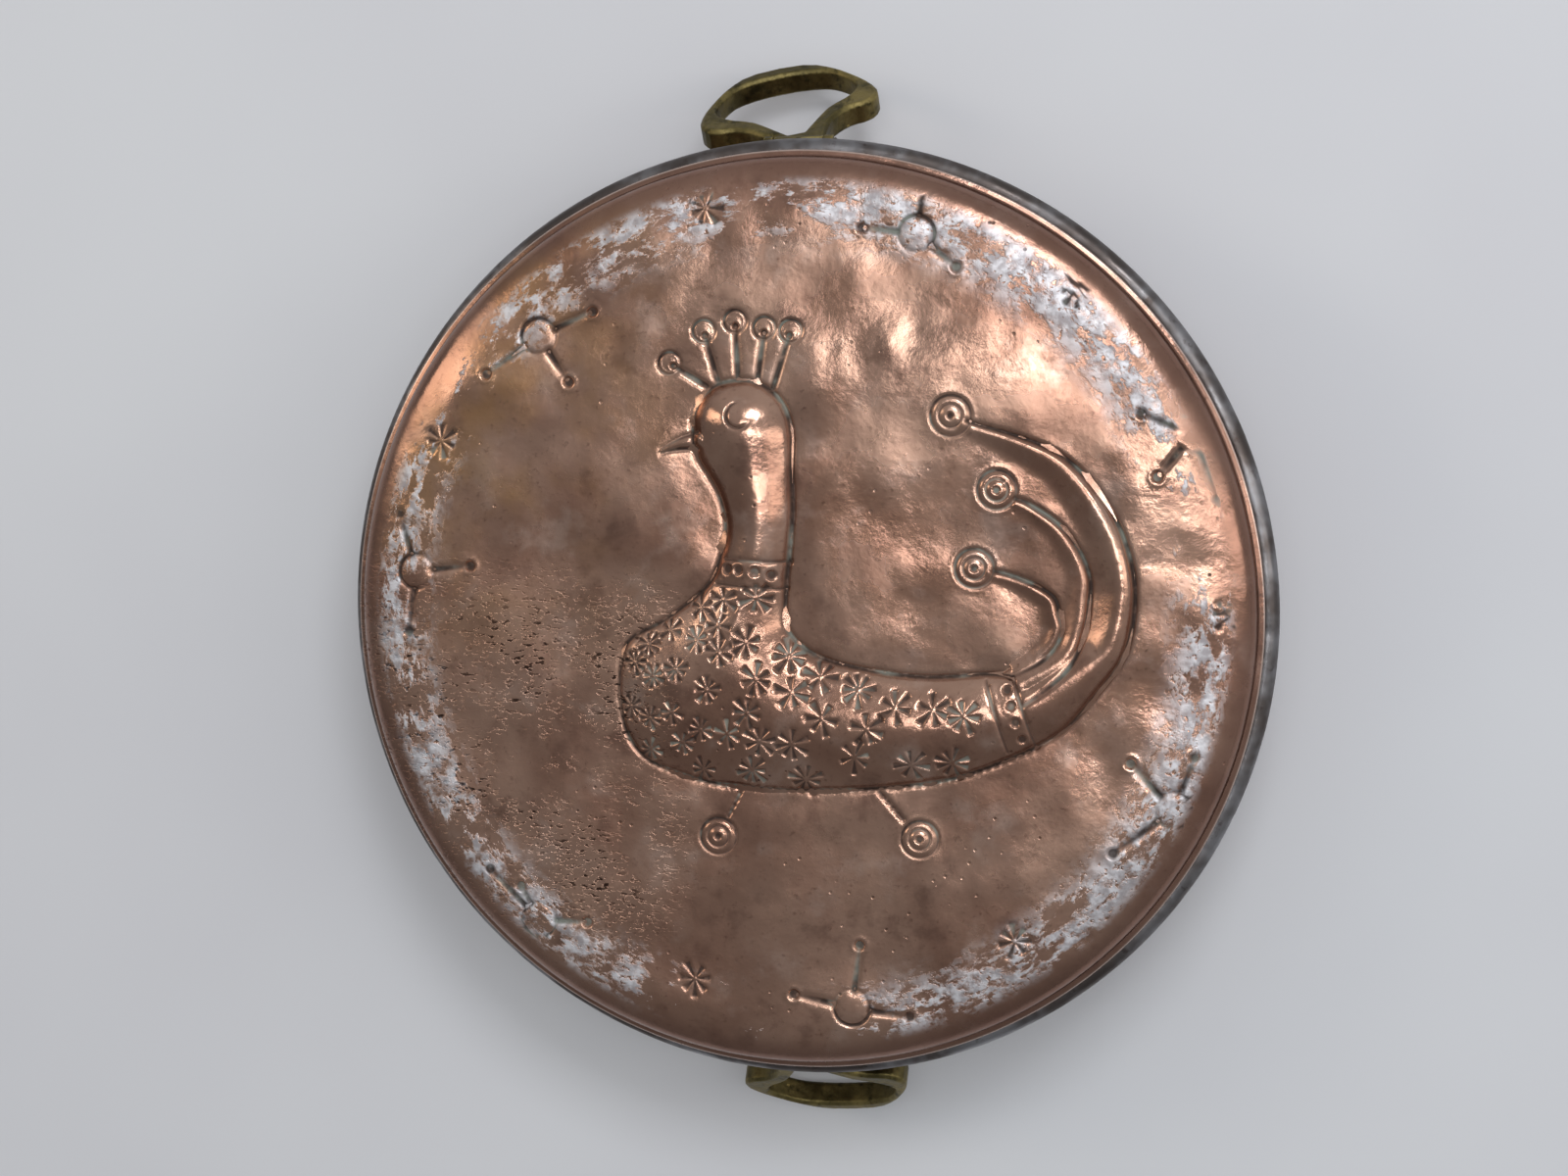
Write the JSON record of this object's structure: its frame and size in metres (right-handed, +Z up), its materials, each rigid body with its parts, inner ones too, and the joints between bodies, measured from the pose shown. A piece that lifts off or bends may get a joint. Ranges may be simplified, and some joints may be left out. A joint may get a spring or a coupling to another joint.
{
  "type": "bed warming pan",
  "caption": "Round shallow copper ember pan with a wired rim, a domed lift-off lid embossed with a peacock, and cast brass drop handles.",
  "frame": {"origin": "centre of the pan's flat bottom, on the surface it stands on", "axes": "+Z up; +Y towards the handle at the top of the picture; +X towards the bird's tail"},
  "size_m": [0.3278, 0.3828, 0.0868],
  "materials": {
    "copper": "hammered copper with brown patina",
    "brass": "cast, dark in the recesses and worn at the edges",
    "iron": "drawn wire",
    "tin": "tinned sheet"
  },
  "bodies": {
    "pan": {"pan_body": "copper", "rim_wire": "iron", "hinge_bracket_top": "brass", "hinge_pin_top": "iron", "rivet_top_1": "copper", "rivet_top_2": "copper", "rivet_top_3": "copper", "hinge_bracket_bottom": "brass", "hinge_pin_bottom": "iron", "rivet_bottom_1": "copper", "rivet_bottom_2": "copper", "rivet_bottom_3": "copper"},
    "lid": {"lid_cover": "copper", "lid_collar": "tin"},
    "upper_handle": {"handle_top": "brass"},
    "lower_handle": {"handle_bottom": "brass"}
  },
  "joints": [
    {"name": "lid_lift", "type": "slide", "parent": "pan", "child": "lid", "axis": [0, 0, 1], "range_m": [0, 0.09]},
    {"name": "handle_top_hinge", "type": "hinge", "parent": "pan", "child": "upper_handle", "pos_m": [-0.00339, 0.16164, 0.05221], "axis": [0.9998, 0.0209, 0], "range_deg": [0, 100]},
    {"name": "handle_bottom_hinge", "type": "hinge", "parent": "pan", "child": "lower_handle", "pos_m": [-0.00395, -0.16163, 0.05221], "axis": [-0.9997, 0.0244, 0], "range_deg": [0, 104]}
  ]
}
